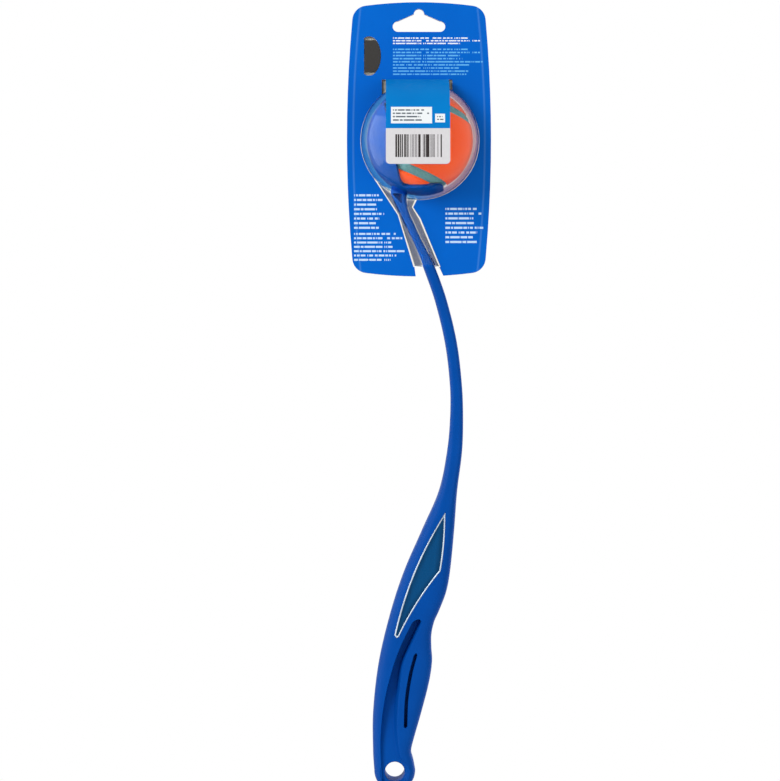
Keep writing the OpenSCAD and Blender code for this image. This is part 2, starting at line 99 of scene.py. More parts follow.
def ease(s):
    c = min(1.0, max(0.0, s))
    return c * c * (3 - 2 * c)


def cubic(x0, x1, m0, m1, s):
    return ((2 * s**3 - 3 * s**2 + 1) * x0 + (s**3 - 2 * s**2 + s) * m0
            + (3 * s**2 - 2 * s**3) * x1 + (s**3 - s**2) * m1)


def along(points, drop):
    """Reach across of a smooth curve through (drop, across) points, at one drop."""
    i = 0
    while i < len(points) - 2 and drop > points[i + 1][0]:
        i += 1
    lean = []
    for k in (i, i + 1):
        a, b = points[max(k - 1, 0)], points[min(k + 1, len(points) - 1)]
        lean.append((b[1] - a[1]) / (b[0] - a[0]))
    h = points[i + 1][0] - points[i][0]
    return cubic(points[i][1], points[i + 1][1], lean[0] * h, lean[1] * h, (drop - points[i][0]) / h)


def on_handle(p):
    """(drop, across) of a point given by its share of the handle's length and its reach."""
    return (HANDLE_TOP[1] + p[0] * HANDLE_LEN, HANDLE_TOP[0] + p[1] * PALM_W - p[0] * HANDLE_REACH)


def shaft_mid(s):
    run = HANDLE_TOP[1] - SHAFT_TOP[1]
    return cubic(SHAFT_TOP[0], HANDLE_TOP[0], math.tan(SHAFT_LEAN) * run, SHAFT_END_SLOPE * run, s)


def shaft_wide(s):
    return SHAFT_W + SHAFT_TOP_GAIN * ease(s / 0.18) + SHAFT_END_GAIN * ease((s - 0.75) / 0.25)


def stick_edge(side, neck, handle):
    """All the stations of one edge of the stick as (drop, across)."""
    stations = [(NECK_ROOT[1] + d, NECK_ROOT[0] + x) for d, x in neck]
    for s in SHAFT_SHARES:
        drop = SHAFT_TOP[1] + s * (HANDLE_TOP[1] - SHAFT_TOP[1])
        stations.append((drop, shaft_mid(s) + side * shaft_wide(s) / 2))
    stations += [on_handle(p) for p in handle]
    stations.append((HOLE[1], HOLE[0] + side * END_R))
    return stations


LEFT_EDGE = stick_edge(-1, NECK_LEFT, HANDLE_LEFT)
RIGHT_EDGE = stick_edge(1, NECK_RIGHT, HANDLE_RIGHT)


def stick_section(drop):
    """Left edge, right edge and half depth of the stick at one drop."""
    past = (drop - HOLE[1]) / END_R
    deeper = ease((drop - HANDLE_TOP[1] + DEEPEN_ABOVE) / DEEPEN_RUN)
    depth = SHAFT_DEPTH + (HANDLE_DEPTH - SHAFT_DEPTH) * deeper
    if past <= 0:
        return along(LEFT_EDGE, drop), along(RIGHT_EDGE, drop), depth / 2
    half = END_R * math.sqrt(1 - past**2)
    return HOLE[0] - half, HOLE[0] + half, depth / 2 * (1 - past**SECTION_POWER) ** (1 / SECTION_POWER)


def bowed(start, end, by):
    """Points from one place to another on a line that bows out to one side."""
    run = end - start
    out = np.array([-run[1], run[0]]) / np.linalg.norm(run)
    return [start + run * s + out * by * 4 * s * (1 - s) for s in np.linspace(0, 1, 25)]


def label_sides():
    """The handle label's left and right sides as (drop, across), from its tip to its round foot."""
    heel, tip, kink, foot = (np.array(on_handle(p)) for p in (LABEL_HEEL, LABEL_TIP, LABEL_KINK, LABEL_FOOT))
    lowest = [(foot[0] + LABEL_FOOT_ROUND, (heel[1] + foot[1]) / 2)]
    right = bowed(tip, kink, LABEL_SWELL)[:-1] + bowed(kink, foot, -LABEL_HOLLOW)
    return bowed(tip, heel, -LABEL_BOW) + lowest, right + lowest


def between(points, drop):
    return float(np.interp(drop, [p[0] for p in points], [p[1] for p in points]))


# Drops of the rings: fine where the handle has its recess, slit and label, wider along the shaft
NECK_STEP, SHAFT_STEP, HANDLE_STEP, END_RINGS = 0.9, 1.8, 0.55, 26
NECK_PAST, SHAFT_PAST = 6, 30
stick_drops = list(np.arange(NECK_ROOT[1] + NECK_LEFT[0][0], SHAFT_TOP[1] + NECK_PAST, NECK_STEP))
stick_drops += list(np.arange(stick_drops[-1] + SHAFT_STEP, HANDLE_TOP[1] + SHAFT_PAST, SHAFT_STEP))
stick_drops += list(np.arange(stick_drops[-1] + HANDLE_STEP, HOLE[1], HANDLE_STEP))
stick_drops += [HOLE[1] + END_R * math.sin(math.radians(a)) for a in np.linspace(0, 88.5, END_RINGS)]
LABEL_LEFT, LABEL_RIGHT = label_sides()
recess_left, recess_right, slit_line = ([on_handle(p) for p in line]
                                        for line in (RECESS_LEFT, RECESS_RIGHT, SLIT))
# Where the label seat, the recess and the slit start and end
LABEL_SPAN = (LABEL_LEFT[0][0], LABEL_LEFT[-1][0])
RECESS_ROUND, RECESS_END_R = 3.0, 11.2
RECESS_TOP = recess_left[0][0]
RECESS_SPAN = (RECESS_TOP, HOLE[1] + RECESS_END_R)
SLIT_HALF = 1.15
SLIT_SPAN = (slit_line[0][0] - SLIT_HALF, slit_line[-1][0] + SLIT_HALF)
# Columns across one face: between the rounded edges and each line of the label seat, recess and slit
FACE_STEPS = [3, 1, 6, 1, 4, 5, 3, 12, 3, 3, 2, 3, 4]
RECESS_SLOPE_STRETCH = 7
EDGE_STEPS = 10
FACE_ZONE = 0.8
# How far past a feature's end its columns take to spread out again
SPREAD = 14
LABEL_LIP = 0.12
RECESS_WALL, RECESS_SLOPE, RECESS_SINK, RECESS_END_SINK = 0.7, 2.8, 8.6, 2.6
# The recess is at its deepest for this far from its top, and rises over this run towards the hole
RECESS_DEEP, RECESS_RISE = 20, HOLE[1] - RECESS_TOP - 25
RECESS_TOP_LIP, RECESS_END_LIP = 1.2, 2.5
SLIT_SINK = 8.0


def held(drop, span):
    """A drop kept just inside a feature's ends, where its lines still lie apart."""
    return min(max(drop, span[0] + 0.02), span[1] - 0.02)


def label_lines(drop):
    drop = held(drop, LABEL_SPAN)
    a, b = between(LABEL_LEFT, drop), between(LABEL_RIGHT, drop)
    lip = min(LABEL_LIP, (b - a) / 3)
    return [a, a + lip, b - lip, b]


def recess_lines(drop):
    drop = held(drop, RECESS_SPAN)
    a, b = along(recess_left, drop), along(recess_right, drop)
    if drop > recess_left[-1][0] - 1:
        wide = (recess_right[-1][1] - recess_left[-1][1]) / 2
        half_end = wide * max(0.0, 1 - ((drop - HOLE[1]) / RECESS_END_R) ** 3) ** (1 / 3)
        a, b = HOLE[0] - half_end, HOLE[0] + half_end
    if drop < RECESS_TOP + RECESS_ROUND:
        half_end = (b - a) / 2 * math.sqrt(1 - (1 - (drop - RECESS_TOP) / RECESS_ROUND) ** 2)
        a, b = (a + b) / 2 - half_end, (a + b) / 2 + half_end
    wall = min(RECESS_WALL, 0.2 * (b - a))
    return [a, a + wall, b - min(RECESS_SLOPE, 0.3 * (b - a)), b]


def slit_lines(drop):
    drop = held(drop, SLIT_SPAN)
    past = max(slit_line[0][0] - drop, drop - slit_line[-1][0], 0)
    half_slit = math.sqrt(SLIT_HALF**2 - past**2)
    m = along(slit_line, drop)
    return [m - half_slit, m - 0.75 * half_slit, m + 0.75 * half_slit, m + half_slit]


# Each feature of the face: its first line, where it starts and ends, and its lines at one drop
LABEL_FIRST, RECESS_FIRST, SLIT_FIRST = 1, 5, 9
FEATURES = [(LABEL_FIRST, *LABEL_SPAN, label_lines), (RECESS_FIRST, *RECESS_SPAN, recess_lines),
            (SLIT_FIRST, *SLIT_SPAN, slit_lines)]


def filled(lines):
    """The same lines, with those that are not set spread evenly between their neighbours."""
    known = [i for i, x in enumerate(lines) if x is not None]
    return list(np.interp(range(len(lines)), known, [lines[i] for i in known]))


def face_lines(drop, left, right):
    """Places across one face where its columns run: lips and floors of its features."""
    middle, half = (left + right) / 2, (right - left) / 2
    lines = [middle - FACE_ZONE * half] + [None] * 12 + [middle + FACE_ZONE * half]
    for first, start, end, places in FEATURES:
        if start < drop < end:
            lines[first:first + 4] = places(drop)
    spread = filled(lines)
    for first, start, end, places in FEATURES:
        past = max(start - drop, drop - end)
        if 0 <= past < SPREAD:
            share = ease(past / SPREAD)
            ahead = places(drop)
            lines[first:first + 4] = [a + (b - a) * share for a, b in zip(ahead, spread[first:first + 4])]
    return list(np.clip(filled(lines), lines[0], lines[-1]))


def face_depth(drop, line, share, base):
    """How far the face is sunk below its plain shape, at a share of the way past one of its lines."""
    first = (line - 1) // 4 * 4 + 1
    inside = {f: start < drop < end for f, start, end, _ in FEATURES}.get(first, False)
    if not inside or line - first > 2:
        return 0.0
    part = line - first
    if first == LABEL_FIRST:
        return max(0.0, base - LABEL_FLOOR) * (share, 1, 1 - share)[part]
    sloped = (ease(share), 1, 1 - ease(share))[part]
    if first == SLIT_FIRST:
        return SLIT_SINK * sloped
    risen = ease((drop - RECESS_TOP - RECESS_DEEP) / RECESS_RISE)
    sink = RECESS_SINK + (RECESS_END_SINK - RECESS_SINK) * risen
    sink *= ease((drop - RECESS_TOP) / RECESS_TOP_LIP) * ease((RECESS_SPAN[1] - drop) / RECESS_END_LIP)
    return sink * sloped


def stick_ring(drop):
    """Points round the stick at one drop: its back face from left to right, then its front face back."""
    left, right, h = stick_section(drop)
    middle, half = (left + right) / 2, (right - left) / 2
    turn = math.acos(FACE_ZONE ** (SECTION_POWER / 2))
    edge = []
    for k in range(EDGE_STEPS + 1):
        a = turn * k / EDGE_STEPS
        edge.append((half * math.cos(a) ** (2 / SECTION_POWER), h * math.sin(a) ** (2 / SECTION_POWER)))
    face = [(middle - reach, up) for reach, up in edge[:-1]]
    lines = face_lines(drop, left, right)
    for n, steps in enumerate(FACE_STEPS):
        for k in range(steps):
            share = (k / steps) ** (1.5 if n == RECESS_SLOPE_STRETCH else 1)
            x = lines[n] + (lines[n + 1] - lines[n]) * share
            base = h * (1 - abs((x - middle) / half) ** SECTION_POWER) ** (1 / SECTION_POWER)
            face.append((x, base - face_depth(drop, n, share, base)))
    face += [(middle + reach, up) for reach, up in edge[:0:-1]]
    back = [(x, -y, -drop) for x, y in face]
    front = [(x, y, -drop) for x, y in face]
    far_edge = [(right, 0, -drop)]
    return back + far_edge + front[:0:-1]


MERGE_GAP = 0.002


def new_sheet(name, columns, rows, place):
    """A grid whose corners are put where place(column, row) says, in millimetres."""
    bpy.ops.mesh.primitive_grid_add(x_subdivisions=columns, y_subdivisions=rows, size=2)
    piece = bpy.context.object
    piece.name = piece.data.name = name
    for corner in piece.data.vertices:
        i, j = round((corner.co.x + 1) / 2 * columns), round((corner.co.y + 1) / 2 * rows)
        corner.co = Vector(place(i, j)) * MM
    return piece


def only(piece):
    bpy.ops.object.select_all(action="DESELECT")
    piece.select_set(True)
    bpy.context.view_layer.objects.active = piece


def close_up(piece, ends=True):
    """Merges corners that meet, fills open ends if asked to, and turns all faces outwards."""
    only(piece)
    bpy.ops.object.mode_set(mode="EDIT")
    bpy.ops.mesh.select_all(action="SELECT")
    bpy.ops.mesh.remove_doubles(threshold=MERGE_GAP * MM)
    if ends:
        bpy.ops.mesh.fill_holes(sides=0)
    bpy.ops.mesh.select_all(action="SELECT")
    bpy.ops.mesh.normals_make_consistent(inside=False)
    bpy.ops.object.mode_set(mode="OBJECT")


def finish_with(piece, kind, **settings):
    """Adds one modifier with these settings and applies it."""
    only(piece)
    modifier = piece.modifiers.new(kind.lower(), kind)
    for key, value in settings.items():
        setattr(modifier, key, value)
    bpy.ops.object.modifier_apply(modifier=modifier.name)


def round_edges(piece, width, segments, degrees):
    """Rounds the edges that turn by more than an angle."""
    finish_with(piece, "BEVEL", width=width * MM, segments=segments, limit_method="ANGLE",
                angle_limit=math.radians(degrees))


def combine(piece, tool, operation):
    finish_with(piece, "BOOLEAN", operation=operation, object=tool, solver="EXACT")
    bpy.data.objects.remove(tool, do_unlink=True)


def soften(piece, degrees):
    only(piece)
    bpy.ops.object.shade_smooth_by_angle(angle=math.radians(degrees))


stick_rings = [stick_ring(d) for d in stick_drops]
around = len(stick_rings[0])
launcher = new_sheet("launcher", around, len(stick_rings) - 1, lambda i, j: stick_rings[j][i % around])
close_up(launcher)

# The stick's top is hollowed to fit inside the wall of the cup
NECK_INTO_CUP = 1.2
bpy.ops.mesh.primitive_uv_sphere_add(segments=128, ring_count=64, radius=(CUP_R - NECK_INTO_CUP) * MM)
combine(launcher, bpy.context.object, "DIFFERENCE")

# Cup: a bowl round the mouth's axis, whose meridians run out to the rim of the side openings and jaws
MOUTH_TILT = math.radians(15)
MOUTH = np.array([math.cos(MOUTH_TILT), 0, math.sin(MOUTH_TILT)])
ACROSS = np.array([-math.sin(MOUTH_TILT), 0, math.cos(MOUTH_TILT)])
SQUARE = np.array([0.0, 1.0, 0.0])
CUP_COLUMNS, CUP_ROWS = 240, 44
# Side opening: its edge leans out a little towards the upper jaw, up to that height
SIDE_EDGE, SIDE_LEAN, SIDE_LEAN_TOP = -21, 0.13, 27
# Heights across the mouth where the opening's round corner and the jaw's edge start
CORNER_FROM, CORNER_R, JAW_FROM = 22.12, 5, 26.97
JAW_START, JAW_SLOPE, JAW_TIP = -17.24, 3.88, 5.0
# Radius of the straight way out that the jaws' tips leave for the ball
WAY_OUT_R = 32.85


def rim(v):
    """How far out along the mouth the wall of the cup reaches, at a height across the mouth."""
    side_edge = SIDE_EDGE + SIDE_LEAN * min(max(0.0, v), SIDE_LEAN_TOP)
    v = abs(v)
    if v < CORNER_FROM:
        return side_edge
    if v < JAW_FROM:
        rounding = math.sqrt(max(0.0, CORNER_R**2 - (v - CORNER_FROM) ** 2))
        return max(side_edge, SIDE_EDGE + CORNER_R - rounding)
    return min(JAW_TIP, JAW_START + (v - JAW_FROM) * JAW_SLOPE)


def rim_angle(turn):
    """Angle from the back of the cup to its rim along one meridian."""
    step = 0.004
    angle = 0.5
    while -CUP_R * math.cos(angle) < rim(CUP_R * math.sin(angle) * math.cos(turn)):
        angle += step
    return angle


rim_angles = [rim_angle(2 * math.pi * i / CUP_COLUMNS) for i in range(CUP_COLUMNS)]


def cup_point(i, j):
    turn = 2 * math.pi * (i % CUP_COLUMNS) / CUP_COLUMNS
    angle = rim_angles[i % CUP_COLUMNS] * j / CUP_ROWS
    around_axis = math.cos(turn) * ACROSS + math.sin(turn) * SQUARE
    return CUP_R * (-math.cos(angle) * MOUTH + math.sin(angle) * around_axis)


cup = new_sheet("cup", CUP_COLUMNS, CUP_ROWS, cup_point)
close_up(cup, ends=False)
if sum(f.normal.dot(f.center) for f in cup.data.polygons) < 0:
    cup.data.flip_normals()
finish_with(cup, "SOLIDIFY", thickness=CUP_WALL * MM, offset=-1, use_even_offset=True)
round_edges(cup, 0.55, 3, 50)
for corner in cup.data.vertices:
    out = float(np.dot(corner.co, MOUTH))
    side = np.array(corner.co) - out * MOUTH
    reach = float(np.linalg.norm(side))
    if out > 0 and reach < WAY_OUT_R * MM:
        corner.co = Vector(out * MOUTH + side * (WAY_OUT_R * MM / reach))
combine(launcher, cup, "UNION")

# Hanging hole: cut with a spool whose ends flare, so that both lips come out rounded
HOLE_FLOOR = 8.4
BORE_SIDES = 64
SPOOL = [(-14, 9.4), (-9.6, 9.4), (-HOLE_FLOOR - 0.6, 7.6), (-HOLE_FLOOR, 6.85), (-HOLE_FLOOR + 0.6, 6.35),
         (-HOLE_FLOOR + 1.3, HOLE_R)]
spool_line = SPOOL + [(-y, r) for y, r in reversed(SPOOL)]


def bore_point(i, j):
    y, r = spool_line[j]
    turn = 2 * math.pi * (i % BORE_SIDES) / BORE_SIDES
    return HOLE[0] + r * math.cos(turn), y, -HOLE[1] + r * math.sin(turn)


bore = new_sheet("bore", BORE_SIDES, len(spool_line) - 1, bore_point)
close_up(bore)
combine(launcher, bore, "DIFFERENCE")

# Three cornered pocket on each side of the neck's root, with walls that draw in from its mouth to its floor
POCKET = [(-3.6, -3), (2.4, -3), (2.4, -9)]
POCKET_LEVELS = [(9.0, 1.25), (1.2, 0.8)]
pocket_middle = np.mean(POCKET, axis=0)
for side in (-1, 1):
    def pocket_point(i, j):
        y, grow = POCKET_LEVELS[j]
        x, z = (NECK_ROOT[0], -NECK_ROOT[1]) + pocket_middle + (POCKET[i % 3] - pocket_middle) * grow
        return x, side * y, z

    pocket = new_sheet("pocket", 3, 1, pocket_point)
    close_up(pocket)
    round_edges(pocket, 0.5, 2, 40)
    combine(launcher, pocket, "DIFFERENCE")
soften(launcher, 38)
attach(launcher, "launcher")
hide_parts("launcher_body")


def srgb(r, g, b):
    """Linear colour from the 0 to 255 numbers of a colour picker."""
    linear = [((c / 255 + 0.055) / 1.055) ** 2.4 if c > 10 else c / 255 / 12.92 for c in (r, g, b)]
    return (*linear, 1.0)


def new_material(name):
    """A material with an empty tree, its Principled shader and its Object coordinates."""
    material = bpy.data.materials.new(name)
    material.use_nodes = True
    tree = material.node_tree
    where = tree.nodes.new("ShaderNodeTexCoord").outputs["Object"]
    return material, tree, tree.nodes["Principled BSDF"], where


def add_node(tree, kind, inputs=(), **settings):
    """A node with its settings; its inputs are values, or sockets to link, by name or number."""
    made = tree.nodes.new("ShaderNode" + kind)
    for key, value in settings.items():
        setattr(made, key, value)
    for key, value in dict(inputs).items():
        if isinstance(value, bpy.types.NodeSocket):
            tree.links.new(value, made.inputs[key])
        else:
            made.inputs[key].default_value = value
    return made


def sums(tree, operation, *values):
    return add_node(tree, "Math", dict(enumerate(values)), operation=operation).outputs[0]


def noise(tree, where, scale, detail=2.0, rough=0.5):
    settings = {"Vector": where, "Scale": scale, "Detail": detail, "Roughness": rough}
    return add_node(tree, "TexNoise", settings).outputs[0]


def axes(tree, where):
    return add_node(tree, "SeparateXYZ", {0: where}).outputs


def mix(tree, share, one, other):
    made = add_node(tree, "Mix", {"Factor": share, 6: one, 7: other}, data_type="RGBA")
    return made.outputs[2]


def ramp(tree, value, low, high, to_low=0.0, to_high=1.0):
    return add_node(tree, "MapRange", {"Value": value, "From Min": low, "From Max": high,
                                       "To Min": to_low, "To Max": to_high}).outputs[0]


def bump(tree, shader, height, strength, distance):
    made = add_node(tree, "Bump", {"Height": height, "Strength": strength, "Distance": distance})
    tree.links.new(made.outputs[0], shader.inputs["Normal"])


def surface(tree, shader, colour, wander, smoothest, roughest, shine=0.5, **plain):
    """Links a colour, and a roughness that wanders between two values, and sets the plain inputs."""
    tree.links.new(colour, shader.inputs["Base Color"])
    tree.links.new(ramp(tree, wander, 0.3, 0.7, smoothest, roughest), shader.inputs["Roughness"])
    shader.inputs["Specular IOR Level"].default_value = shine
    for name, value in plain.items():
        shader.inputs[name.replace("_", " ")].default_value = value


def paint(piece, *materials):
    """Gives a piece these materials and no others."""
    piece.data.materials.clear()
    for material in materials:
        piece.data.materials.append(material)


plastic, tree, shader, where = new_material("launcher_plastic")
blue = mix(tree, noise(tree, where, 38, 3), srgb(0, 68, 152), srgb(0, 78, 166))
surface(tree, shader, blue, noise(tree, where, 240, 3), 0.38, 0.46, 0.05)
grain = noise(tree, where, 2600, 2)
parting = ramp(tree, sums(tree, "ABSOLUTE", axes(tree, where)["Y"]), 0.00006, 0.0002, 1.0, 0.0)
bump(tree, shader, sums(tree, "ADD", sums(tree, "MULTIPLY", grain, 0.25), parting), 0.35, 0.00012)
paint(launcher, plastic)


# Handle labels: a printed plastic leaf with a raised silver rim, glued into a shallow seat on each face.
# The places for a name are left bare, so each one is a plain teal field, with painted shade that darkens it
# towards its rim.
LABEL_T = 0.6
LABEL_GAP = 0.1
LABEL_CROWN = 0.12
LEAF_T = LABEL_T - 0.14
RIM_WIDE = 0.9
RIM_PROUD = 0.2
RIM_SINK = 0.06
# Half round section of the rim: share of its width, and share of how far it stands proud
RIM_SECTION = [(0.0, -0.3), (0.0, 0.02), (0.18, 0.75), (0.5, 1.0), (0.82, 0.75), (1.0, 0.02), (1.0, -0.3)]
# Width over which the painted shade fades in from the label's edges, leaving its middle at its lightest
LABEL_SHADE_WIDE = 9
LABEL_COLUMNS, LABEL_ROWS = 14, 90
label_drops = np.linspace(LABEL_SPAN[0] + 0.5, LABEL_SPAN[1] - 0.15, LABEL_ROWS + 1)
label_lefts = [between(LABEL_LEFT, d) + LABEL_GAP for d in label_drops]
label_rights = [between(LABEL_RIGHT, d) - LABEL_GAP for d in label_drops]


def stretched(tree, where, *scale):
    """Coordinates that are drawn out, for streaks and fibres."""
    return add_node(tree, "Mapping", {"Vector": where, "Scale": scale}).outputs[0]


label_print, tree, shader, where = new_material("label_print")
from_rim = add_node(tree, "Attribute", attribute_name="from_rim").outputs["Fac"]
streak = noise(tree, stretched(tree, where, 900, 900, 60), 1, 2)
# Painted shade: the field is darker near the rim and lighter in its middle
field_with_painted_shade = mix(tree, ramp(tree, from_rim, 0.0, 1.0), srgb(1, 40, 72), srgb(2, 70, 120))
field_with_painted_shade = mix(tree, ramp(tree, streak, 0.35, 0.75, 0.0, 0.25), field_with_painted_shade, srgb(4, 84, 136))
surface(tree, shader, field_with_painted_shade, noise(tree, where, 500, 2), 0.22, 0.3, 0.08)
bump(tree, shader, noise(tree, where, 1800, 2), 0.08, 0.0001)

label_silver, tree, shader, where = new_material("label_silver")
brushed = noise(tree, stretched(tree, where, 500, 500, 90), 1, 3)
silver = mix(tree, brushed, srgb(150, 170, 190), srgb(214, 224, 232))
surface(tree, shader, silver, brushed, 0.28, 0.42, Metallic=0.55)
bump(tree, shader, brushed, 0.1, 0.0001)

for name, side in (("back", -1), ("front", 1)):
    # Top of the leaf, slightly crowned, then its underside
    def leaf_point(i, j):
        a, b = label_lefts[j], label_rights[j]
        share = i / LABEL_COLUMNS
        crown = LABEL_CROWN * 4 * share * (1 - share) * min(1.0, (b - a) / 6)
        return a + (b - a) * share, side * (LABEL_FLOOR + LABEL_T - LABEL_CROWN + crown), -label_drops[j]

    leaf = new_sheet("handle_label_" + name + "_print", LABEL_COLUMNS, LABEL_ROWS, leaf_point)
    rim_share = leaf.data.attributes.new("from_rim", "FLOAT", "POINT")
    for corner, value in zip(leaf.data.vertices, rim_share.data):
        x, drop = corner.co.x / MM, -corner.co.z / MM
        a, b = np.interp(drop, label_drops, label_lefts), np.interp(drop, label_drops, label_rights)
        value.value = min(1.0, 2 * min(x - a, b - x) / LABEL_SHADE_WIDE)
    if leaf.data.polygons[0].normal.y * side < 0:
        leaf.data.flip_normals()
    finish_with(leaf, "SOLIDIFY", thickness=LEAF_T * MM, offset=-1)
    soften(leaf, 40)
    paint(leaf, label_print)
    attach(leaf, "launcher")
    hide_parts("handle_label_" + name)

    # Raised rim, a half round bead that runs once round the leaf
    loop = np.array([*zip(label_lefts, -label_drops), *[*zip(label_rights, -label_drops)][::-1]])
    ahead = np.roll(loop, -3, axis=0) - np.roll(loop, 3, axis=0)
    inward = np.stack([-ahead[:, 1], ahead[:, 0]], axis=1) / np.linalg.norm(ahead, axis=1)[:, None]
    if np.dot(np.mean(loop, axis=0) - loop[LABEL_ROWS // 2], inward[LABEL_ROWS // 2]) < 0:
        inward = -inward

    def bead_point(i, j):
        across, proud = RIM_SECTION[j % len(RIM_SECTION)]
        x, z = loop[i % len(loop)] + inward[i % len(loop)] * RIM_WIDE * across
        return x, side * (LABEL_FLOOR + LABEL_T - RIM_SINK + RIM_PROUD * proud), z

    rim_line = new_sheet("handle_label_" + name + "_rim", len(loop), len(RIM_SECTION), bead_point)
    close_up(rim_line)
    soften(rim_line, 60)
    paint(rim_line, label_silver)
    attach(rim_line, "launcher")


# Ball: a hollow rubber core in two bonded halves, covered by two dog bone panels of orange felt.
# A wide teal rubber seam fills the gap between the panels, a little below the felt.
BALL_R = 32.5
FELT_T = 2.5
FELT_LIFT = 0.06
SEAM_W = 7.0
SEAM_HALF = math.asin(SEAM_W / 2 / BALL_R)
SEAM_MIDDLE = math.radians(45)
SEAM_TURN = math.radians(-68)
PANEL_GAP = math.radians(0.3)
PANEL_ROUND, PANEL_FALL = 1.6, 0.75
LOOP_STEPS = 48


def in_ball(p):
    """From the ball's own frame, where the panels' waists lie along its axes, to the part's frame."""
    x, y, z = p[0], p[2], -p[1]
    return np.array([x * math.cos(SEAM_TURN) + z * math.sin(SEAM_TURN), y,
                     -x * math.sin(SEAM_TURN) + z * math.cos(SEAM_TURN)])


def panel_edge(lobe):
    """Closed loop on the unit ball round one panel, that far from its middle lines."""
    c, s = math.cos(lobe), math.sin(lobe)
    turns = np.linspace(0, math.pi, LOOP_STEPS, endpoint=False)
    half = [(c * math.cos(t), s, c * math.sin(t)) for t in turns]
    half += [(-c, s * math.cos(t), -s * math.sin(t)) for t in turns]
    return np.array(half + [(-x, -y, z) for x, y, z in half])


felt, tree, shader, where = new_material("ball_felt")
nap = noise(tree, where, 620, 5, 0.65)
fibre = noise(tree, stretched(tree, where, 2600, 900, 1400), 1, 4, 0.7)
patch = noise(tree, where, 90, 3)
orange = mix(tree, ramp(tree, fibre, 0.35, 0.7), srgb(230, 66, 16), srgb(255, 90, 38))
orange = mix(tree, ramp(tree, patch, 0.3, 0.75, 0.0, 0.35), orange, srgb(255, 108, 56))
# Painted glow: the felt gives out a little orange light of its own, which brightens the ball; the dye is
# fluorescent, but this glow is painted in
surface(tree, shader, orange, nap, 0.82, 0.96, 0.1, Sheen_Weight=0.15,
        Emission_Color=srgb(255, 92, 30), Emission_Strength=0.22)
bump(tree, shader, sums(tree, "ADD", nap, sums(tree, "MULTIPLY", fibre, 0.6)), 0.7, 0.0004)

edge_loop = panel_edge(SEAM_MIDDLE - SEAM_HALF - PANEL_GAP)
around = len(edge_loop)
# Rows from the middle of the panel to its edge, over the rounded edge, and back underneath:
# the share of the way to the edge, and the share of the felt's thickness
PANEL_ROWS = [(f, 0.0) for f in [*np.linspace(0, 0.9, 16), 0.94, 0.965, 0.982, 0.994, 1.0]]
PANEL_ROWS += [(1.0, 0.5), (1.0, 1.0)] + [(f, 1.0) for f in np.linspace(0.94, 0, 9)]


def panel_point(i, j):
    """A place on the great circle from the panel's middle to its edge, sunk by its rounding and its row."""
    share, sunk = PANEL_ROWS[j]
    far = edge_loop[i % around]
    reach = math.acos(far[2])
    side = np.array([far[0], far[1], 0.0]) / math.sin(reach)
    at = np.array([0.0, 0.0, 1.0]) * math.cos(reach * share) + side * math.sin(reach * share)
    inside = (1 - share) * reach * BALL_R
    drop = PANEL_FALL * (1 - math.sqrt(1 - max(0.0, 1 - inside / PANEL_ROUND) ** 2)) if sunk < 1 else 0.0
    lift = PANEL_FALL * sunk if 0 < sunk < 1 else 0.0
    return at * (BALL_R - drop - sunk * (FELT_T - FELT_LIFT) + lift)


for name, turned in (("felt_a", False), ("felt_b", True)):
    def placed(i, j):
        p = panel_point(i, j)
        return in_ball((p[1], p[0], -p[2]) if turned else p)

    panel = new_sheet(name, around, len(PANEL_ROWS) - 1, placed)
    close_up(panel)
    soften(panel, 60)
    paint(panel, felt)
    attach(panel, "ball")
    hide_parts("felt_panel_" + name[-1])

seam_rubber, tree, shader, where = new_material("seam_rubber")
speck = noise(tree, where, 900, 3)
teal = mix(tree, ramp(tree, speck, 0.3, 0.7), srgb(78, 138, 146), srgb(104, 164, 170))
surface(tree, shader, teal, speck, 0.55, 0.75)
bump(tree, shader, speck, 0.4, 0.0002)

# The seam's section, domed outside and flat inside: share of its half width, and depth below the ball's face
SEAM_SECTION = [(1, 1.05), (0.72, 0.62), (0.3, 0.46), (0, 0.43), (-0.3, 0.46), (-0.72, 0.62), (-1, 1.05),
                (-1, FELT_T), (0, FELT_T), (1, FELT_T)]
seam_loops = [panel_edge(SEAM_MIDDLE + w * SEAM_HALF) * (BALL_R - d) for w, d in SEAM_SECTION]
seam = new_sheet("ball_seam_band", around, len(SEAM_SECTION),
                 lambda i, j: in_ball(seam_loops[j % len(SEAM_SECTION)][i % around]))
close_up(seam)
soften(seam, 50)
paint(seam, seam_rubber)
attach(seam, "ball")
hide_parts("ball_seam")

core_rubber, tree, shader, where = new_material("core_rubber")
speck = noise(tree, where, 700, 3)
surface(tree, shader, mix(tree, speck, srgb(44, 44, 46), srgb(62, 62, 64)), speck, 0.6, 0.8)
bump(tree, shader, speck, 0.3, 0.0003)
for name in ("ball_core_half_a", "ball_core_half_b"):
    paint(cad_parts[name], core_rubber)


# Film: two shells drawn from clear plastic sheet, back and front, sealed flange to flange between the cards.
# Each has a dome over cup and ball, and a trough with slanting walls down to where the shaft leaves.
FILM_T = 0.4
FILM_AIR = 0.05
FILM_FILLET = 1.2
DOME_X, DOME_R = -1.2, 37.5
# The flange's first row lies this far outside the dome
DOME_FOOT = 0.1
TROUGH_UP = SHAFT_DEPTH / 2 + 1.2
TROUGH_END = 79.7
shaft_at_end = shaft_mid((TROUGH_END - SHAFT_TOP[1]) / (HANDLE_TOP[1] - SHAFT_TOP[1]))
